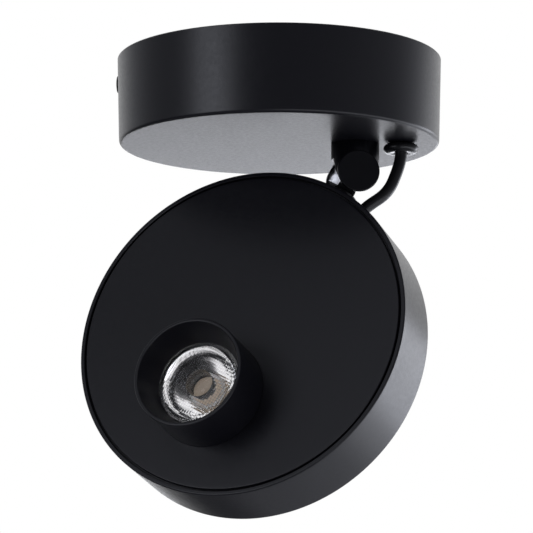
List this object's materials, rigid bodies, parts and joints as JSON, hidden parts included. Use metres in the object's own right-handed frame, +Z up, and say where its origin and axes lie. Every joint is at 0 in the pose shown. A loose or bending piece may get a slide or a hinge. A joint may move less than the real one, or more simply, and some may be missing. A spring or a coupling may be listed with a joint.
{
  "type": "surface mounted ceiling spotlight",
  "caption": "Surface mounted ceiling spotlight: flat drum canopy, two-axis knuckle with swivelling stem, and a flat round head with an off-centre snoot and lens.",
  "frame": {"origin": "centre of the ceiling plane: the middle of the bracket's two slots, on the face that meets the ceiling", "axes": "+Z up into the ceiling; +X from the canopy's centre towards the knuckle and the lead; +Y away from the side the head faces at rest"},
  "size_m": [0.1106, 0.1, 0.1419],
  "materials": {
    "black_coat": "fine satin powder coat",
    "black_steel": "satin black coat, bare on the mating faces",
    "zinc_steel": "zinc plated sheet",
    "black_screw": "black oxide",
    "steel_fixings": "zinc plated",
    "white_moulding": "moulded",
    "brass": "bare",
    "blue_insulation": "insulation",
    "green_insulation": "insulation",
    "red_insulation": "insulation",
    "black_moulding": "moulded",
    "friction_plastic": "moulded",
    "black_rubber": "soft",
    "lead_jacket": "smooth round jacket",
    "clear_lens": "clear moulding",
    "board_enamel": "white solder mask",
    "phosphor": "phosphor",
    "pad_rubber": "thermal pad",
    "bare_aluminium": "turned"
  },
  "bodies": {
    "canopy": {"canopy_shell": "black_coat", "ceiling_bracket": "zinc_steel", "canopy_side_screw": "black_screw", "terminal_block": "white_moulding", "terminal_screws": "brass", "driver_case": "white_moulding", "driver_lid": "white_moulding", "foot_screws": "steel_fixings", "earth_tag": "brass", "earth_screw": "steel_fixings", "mains_wires": "blue_insulation", "earth_wire": "green_insulation", "output_wires": "red_insulation", "lead_gland": "black_moulding", "gland_nut": "black_moulding", "lead_stop": "black_moulding", "swivel_washer": "steel_fixings", "swivel_spring_washer": "steel_fixings", "swivel_nut": "steel_fixings", "lead": "lead_jacket"},
    "upper_knuckle": {"upper_knuckle": "black_steel", "pivot_screw": "steel_fixings", "pivot_washer": "steel_fixings", "friction_disc": "friction_plastic"},
    "lower_knuckle": {"lower_knuckle": "black_steel", "stem_washer": "steel_fixings", "stem_spring_washer": "steel_fixings", "stem_nut": "steel_fixings"},
    "head": {"head_housing": "black_coat", "front_plate": "black_coat", "cover_screws": "black_screw", "snoot": "black_coat", "snoot_screws": "steel_fixings", "lens": "clear_lens", "lens_holder": "black_moulding", "led_board": "board_enamel", "led_emitter": "phosphor", "led_board_screws": "steel_fixings", "thermal_pad": "pad_rubber", "heat_sink": "bare_aluminium", "heat_sink_screws": "black_screw", "head_bush": "black_rubber", "led_wires": "red_insulation"}
  },
  "joints": [
    {"name": "pan", "type": "hinge", "parent": "canopy", "child": "upper_knuckle", "pos_m": [0.0235, 0, -0.0362], "axis": [0, 0, 1], "range_deg": [-100.89, 79.11], "deforming": ["lead"]},
    {"name": "tilt", "type": "hinge", "parent": "upper_knuckle", "child": "lower_knuckle", "pos_m": [0.0235, 0, -0.0362], "axis": [-0.1889, 0.982, 0], "range_deg": [-30.98, 11.02], "deforming": ["lead"]},
    {"name": "swivel", "type": "hinge", "parent": "lower_knuckle", "child": "head", "pos_m": [0.0235, 0, -0.0362], "axis": [0.5055, 0.0972, 0.8573], "range_deg": [-27.4, 92.6], "deforming": ["lead"]}
  ]
}
